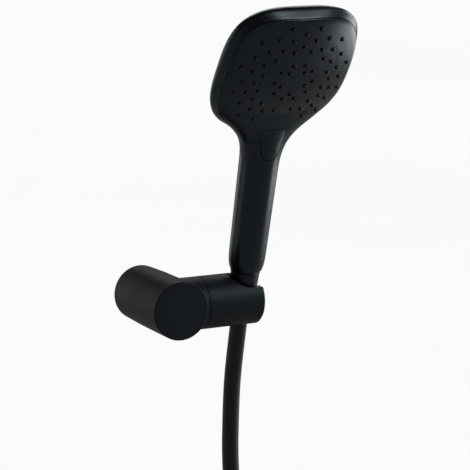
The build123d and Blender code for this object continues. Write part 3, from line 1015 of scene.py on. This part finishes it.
# ---------------------------------------------------------------- hose
@dataclass
class Hose:
    """Smooth shower hose: down from the cone nut, into a round coil, and down to its wall nut.

    Sizes are in millimetres.

    Attributes:
        radius: Outer radius of the sheath.
        start: Where the hose comes out of its upper ferrule.
        bend: Point of its route beside its hinge.
        hinge: Where the hose would bend if the arm tilted; not used.
        tie_angles: Angles round the coil at which it is tied, in degrees.
        tie_width: Width of the tie straps.
        tie_skin: Thickness of the tie straps.
        tie_slack: Room between a strap and the hose.
        tie_edge: Bevel of the straps' outer edges.
        coil_centre: Centre of the coil across and up.
        coil_radius: Radius of the turns' centreline.
        coil_start: Angle at which the hose joins the coil, in degrees.
        coil_sweep: Angle that it goes round, in degrees.
        coil_spread: Size of the led points' ring beside the turns, which run inside it.
        pitch: Distance between turns.
        back: Distance of the first turn from the wall, negative forwards.
        foot: Height of the sheath's lower end.
    """

    radius: float = 7.1
    start: tuple[float, float, float] = (65.9, -56.71, -8.73)
    bend: tuple[float, float, float] = (65.9, -41.6, -72.0)
    hinge: tuple[float, float, float] = (65.9, -40.8, -72.0)
    tie_angles: tuple[float, ...] = (90.0, 205.0, 305.0)
    tie_width: float = 8.0
    tie_skin: float = 1.3
    tie_slack: float = 0.15
    tie_edge: float = 0.3
    coil_centre: tuple[float, float] = (53.54, -287.62)
    coil_radius: float = 84.0
    coil_start: float = 55.0
    coil_sweep: float = 775.0
    coil_spread: float = 1.018
    pitch: float = 14.4
    back: float = -38.0
    foot: float = -352.6

    def route(self) -> list[tuple[float, float, float]]:
        """Points that the hose is led along.

        Returns:
            The points, from the cone nut to the wall nut.
        """
        points = [
            self.start,
            (65.9, -50.9, -32.0),
            self.bend,
            (65.9, -38.6, -108.0),
            (65.9, -37.4, -142.0),
            (68.4, -36.6, -172.0),
            (78.9, -37.0, -198.0),
        ]
        steps = 36
        reach = self.coil_radius * self.coil_spread
        for i in range(steps + 1):
            angle = math.radians(self.coil_start - self.coil_sweep * i / steps)
            depth = self.back - self.pitch * self.coil_sweep * i / steps / 360
            points.append((
                self.coil_centre[0] + reach * math.cos(angle),
                depth,
                self.coil_centre[1] + reach * math.sin(angle),
            ))
        side = self.coil_centre[0] + self.coil_radius
        front = self.back - self.pitch * self.coil_sweep / 360
        points += [(side, front, -312.0), (side, front, -335.0), (side, front, self.foot)]
        return points

    def curve(self) -> bpy.types.Object:
        """The route as one smooth curve.

        Returns:
            The curve, in metres and without thickness.
        """
        data = bpy.data.curves.new("hose_line", "CURVE")
        data.dimensions = "3D"
        data.resolution_u = 8
        spline = data.splines.new("NURBS")
        points = self.route()
        spline.points.add(len(points) - 1)
        for point, place in zip(spline.points, points, strict=True):
            point.co = (place[0] * MM, place[1] * MM, place[2] * MM, 1.0)
        spline.order_u = 3
        spline.use_endpoint_u = True
        line = bpy.data.objects.new("hose_line", data)
        bpy.context.collection.objects.link(line)
        return line

    def strands(self, angle: float) -> list[float]:
        """Distances from the wall of the turns that pass an angle of the coil.

        Args:
            angle: Angle round the coil, in degrees.

        Returns:
            A distance for each turn, negative forwards.
        """
        found = []
        passed = (self.coil_start - angle) % 360
        while passed <= self.coil_sweep:
            found.append(self.back - self.pitch * passed / 360)
            passed += 360
        return found

    def tie(self, angle: float) -> bpy.types.Object:
        """Strap with round ends that holds the turns together.

        Args:
            angle: Its angle round the coil, in degrees.

        Returns:
            The strap, a closed band round the turns.
        """
        steps = 16
        strands = self.strands(angle)
        turn = math.radians(angle)
        out = Vector((math.cos(turn), 0, math.sin(turn)))
        along = Vector((-math.sin(turn), 0, math.cos(turn)))
        middle = Vector((self.coil_centre[0], 0, self.coil_centre[1])) + out * self.coil_radius
        rings = []
        inner = self.radius + self.tie_slack
        outer = inner + self.tie_skin
        half = self.tie_width / 2
        edge = half - self.tie_edge
        for reach, shift in ((inner, -half), (outer, -edge), (outer, edge), (inner, half)):
            ring = []
            for end, first in ((max(strands), 0), (min(strands), 180)):
                for i in range(steps + 1):
                    bow = math.radians(first + 180 * i / steps)
                    ring.append(middle + Vector((0, end, 0)) + along * shift
                                + out * (reach * math.cos(bow))
                                + Vector((0, reach * math.sin(bow), 0)))
            rings.append(ring)
        band = skin("tie", rings, capped=False)
        with editing(band):
            bpy.ops.mesh.select_all(action="DESELECT")
            bpy.ops.mesh.select_mode(type="EDGE")
            bpy.ops.mesh.select_non_manifold()
            bpy.ops.mesh.bridge_edge_loops()
            bpy.ops.mesh.select_all(action="SELECT")
            bpy.ops.mesh.normals_make_consistent(inside=False)
            bpy.ops.mesh.select_mode(type="VERT")
        return band

    def build(self, wardrobe: Wardrobe) -> None:
        """Args:
            wardrobe: Where the finishes come from.
        """
        line = self.curve()
        thread = bpy.data.meshes.new_from_object(line)
        line.data.bevel_depth = self.radius * MM
        line.data.bevel_resolution = 12
        line.data.use_fill_caps = True
        pick(line)
        bpy.ops.object.convert(target="MESH")
        hose = bpy.context.object
        hose.name = "hose"
        smooth(hose, 60)
        wardrobe.dress(hose, Finish.HOSE)
        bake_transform(hose)
        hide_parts("hose_upper", "hose_lower", "hose_coil", "hose_tail")
        ties = join("coil_straps", [self.tie(angle) for angle in self.tie_angles])
        settle(ties, Matrix.Scale(MM, 4))
        smooth(ties, 35)
        wardrobe.dress(ties, Finish.TIE)
        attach(ties, "hose_hang")
        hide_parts("coil_ties")


# ---------------------------------------------------------------- pieces that stay
@dataclass(frozen=True)
class Holder:
    """Wall bracket, arm, nuts and inner works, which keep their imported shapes.

    Attributes:
        bracket: Pieces in the bracket's matt plastic.
        nuts: Coated nuts and the inlet.
        inner: Plain mouldings out of sight.
        brass: Turned ferrules.
        steel: Screws, clips and springs.
        seals: Rings and washers of rubber.
    """

    bracket: tuple[str, ...] = ("bracket_body", "holder_arm")
    nuts: tuple[str, ...] = ("cone_nut", "outlet_nut", "inlet_spigot")
    inner: tuple[str, ...] = (
        "wall_hub", "pivot_bush", "socket_liner", "jet_disc", "chamber_ring", "valve_body",
        "head_duct", "water_tube", "check_valve", "flow_disc", "button_plunger",
        "selector_rotor",
    )
    brass: tuple[str, ...] = ("upper_ferrule", "lower_ferrule")
    steel: tuple[str, ...] = (
        "grub_screw", "wave_washer", "retaining_clip", "plate_screws", "button_spring",
    )
    seals: tuple[str, ...] = (
        "friction_ring", "face_gasket", "duct_seal", "tube_seals", "spigot_seal",
        "filter_washer", "outlet_washer",
    )

    def dress(self, nodes: dict[str, bpy.types.Object], wardrobe: Wardrobe) -> None:
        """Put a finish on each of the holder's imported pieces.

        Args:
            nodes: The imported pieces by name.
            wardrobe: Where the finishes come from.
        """
        groups = (
            (self.bracket, Finish.BRACKET), (self.nuts, Finish.NUT), (self.inner, Finish.INNER),
            (self.brass, Finish.BRASS), (self.steel, Finish.STEEL), (self.seals, Finish.SEAL),
        )
        for names, finish in groups:
            for name in names:
                wardrobe.dress(nodes[name], finish)
                LOG.info("%s: %s", name, finish.value)


# ---------------------------------------------------------------- studio
@dataclass(frozen=True)
class Panel:
    """A soft light panel.

    Attributes:
        name: Name of the light.
        place: Where it stands, in metres.
        aim: The point that it faces.
        size: Width and height.
        power: Power in watts.
    """

    name: str
    place: tuple[float, float, float]
    aim: tuple[float, float, float]
    size: tuple[float, float]
    power: float

    def hang(self) -> None:
        """Put the light in the scene."""
        data = bpy.data.lights.new(self.name, "AREA")
        data.shape = "RECTANGLE"
        data.size, data.size_y = self.size
        data.energy = self.power
        lamp = bpy.data.objects.new(self.name, data)
        lamp.location = self.place
        direction = Vector(self.aim) - Vector(self.place)
        lamp.rotation_euler = direction.to_track_quat("-Z", "Y").to_euler()
        lamp.visible_camera = False
        bpy.context.scene.collection.objects.link(lamp)


@dataclass(frozen=True)
class Studio:
    """Pale floor, soft panels, surroundings and camera.

    The floor and the surroundings are white to look at and dimmer as sources of light.

    Attributes:
        floor_height: Height of the floor, in metres.
        floor_half: Half of its width.
        floor_white: Its brightness as it is seen.
        bounce: Its brightness as a source of light.
        surround: Brightness of the surroundings as a source of light.
        camera_place: Where the camera stands.
        camera_direction: Where it looks.
        lens: Its focal length in millimetres.
        panels: The lights.
    """

    floor_height: float = -0.42
    floor_half: float = 30.0
    floor_white: float = 0.98
    bounce: float = 0.34
    surround: float = 0.05
    camera_place: tuple[float, float, float] = (-0.6075, -1.3518, 0.3228)
    camera_direction: tuple[float, float, float] = (0.451, 0.874, -0.182)
    lens: float = 137.9
    panels: tuple[Panel, ...] = (
        Panel("left_panel", (-1.7, 0.75, 0.35), (0.03, -0.08, 0.05), (0.5, 1.8), 7.0),
        Panel("right_panel", (1.6, 0.05, 0.15), (0.07, -0.09, 0.1), (0.8, 1.6), 18.0),
        Panel("low_panel", (1.1, -0.35, -0.2), (0.07, -0.12, 0.2), (0.5, 0.4), 3.0),
        Panel("top_panel", (0.8, 1.3, 1.2), (0.07, -0.12, 0.2), (1.2, 0.9), 6.0),
        Panel("crown_panel", (1.1, -1.65, 1.4), (0.07, -0.12, 0.2), (1.1, 0.9), 28.0),
        Panel("back_panel", (-0.6, 1.9, 0.3), (0.07, -0.09, 0.0), (0.6, 1.4), 3.0),
    )

    def floor(self) -> None:
        """Plain pale floor, wide enough to fill the view."""
        bpy.ops.object.select_all(action="DESELECT")
        bpy.ops.mesh.primitive_grid_add(
            x_subdivisions=2, y_subdivisions=2, size=2 * self.floor_half,
            location=(0, 0, self.floor_height),
        )
        floor = bpy.context.object
        floor.name = "floor"
        graph = Graph("floor_white")
        tint = graph.mix(graph.noise(0.6, 2.0), (0.96, 0.96, 0.96), (1.0, 1.0, 1.0))
        seen = graph.node("ShaderNodeEmission", {}, {"Color": tint, "Strength": self.floor_white})
        around = graph.node("ShaderNodeEmission", {}, {"Color": tint, "Strength": self.bounce})
        path = graph.node("ShaderNodeLightPath", {}, {})
        both = graph.node("ShaderNodeMixShader", {}, {
            0: Signal(graph, path.outputs["Is Camera Ray"]),
            1: Signal(graph, around.outputs[0]),
            2: Signal(graph, seen.outputs[0]),
        })
        output = graph.tree.nodes["Material Output"]
        graph.link(output, {"Surface": Signal(graph, both.outputs[0])})
        floor.data.materials.append(graph.material)

    def camera(self) -> None:
        """Camera in front, from the left and a little above."""
        data = bpy.data.cameras.new("camera")
        data.sensor_width = 36.0
        data.lens = self.lens
        data.clip_end = 100.0
        eye = bpy.data.objects.new("camera", data)
        eye.location = self.camera_place
        eye.rotation_euler = Vector(self.camera_direction).to_track_quat("-Z", "Y").to_euler()
        bpy.context.scene.collection.objects.link(eye)
        bpy.context.scene.camera = eye

    def build(self) -> None:
        """Set the surroundings, the floor, the panels and the camera."""
        world = bpy.data.worlds.new("surroundings")
        bpy.context.scene.world = world
        world.use_nodes = True
        tree = world.node_tree
        around = tree.nodes["Background"]
        around.inputs["Color"].default_value = (1, 1, 1, 1)
        around.inputs["Strength"].default_value = self.surround
        seen = tree.nodes.new("ShaderNodeBackground")
        seen.inputs["Color"].default_value = (1, 1, 1, 1)
        path = tree.nodes.new("ShaderNodeLightPath")
        both = tree.nodes.new("ShaderNodeMixShader")
        tree.links.new(path.outputs["Is Camera Ray"], both.inputs[0])
        tree.links.new(around.outputs[0], both.inputs[1])
        tree.links.new(seen.outputs[0], both.inputs[2])
        tree.links.new(both.outputs[0], tree.nodes["World Output"].inputs["Surface"])
        bpy.context.scene.view_settings.view_transform = "Standard"
        self.floor()
        for panel in self.panels:
            panel.hang()
        self.camera()


def main() -> None:
    """Build the handset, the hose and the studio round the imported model."""
    logging.basicConfig(level=logging.INFO, format="%(name)s: %(message)s")
    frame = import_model()
    wardrobe = Wardrobe()
    Holder().dress(frame["nodes"], wardrobe)
    Handset().build(wardrobe)
    Hose().build(wardrobe)
    Studio().build()


if __name__ == "__main__":
    main()
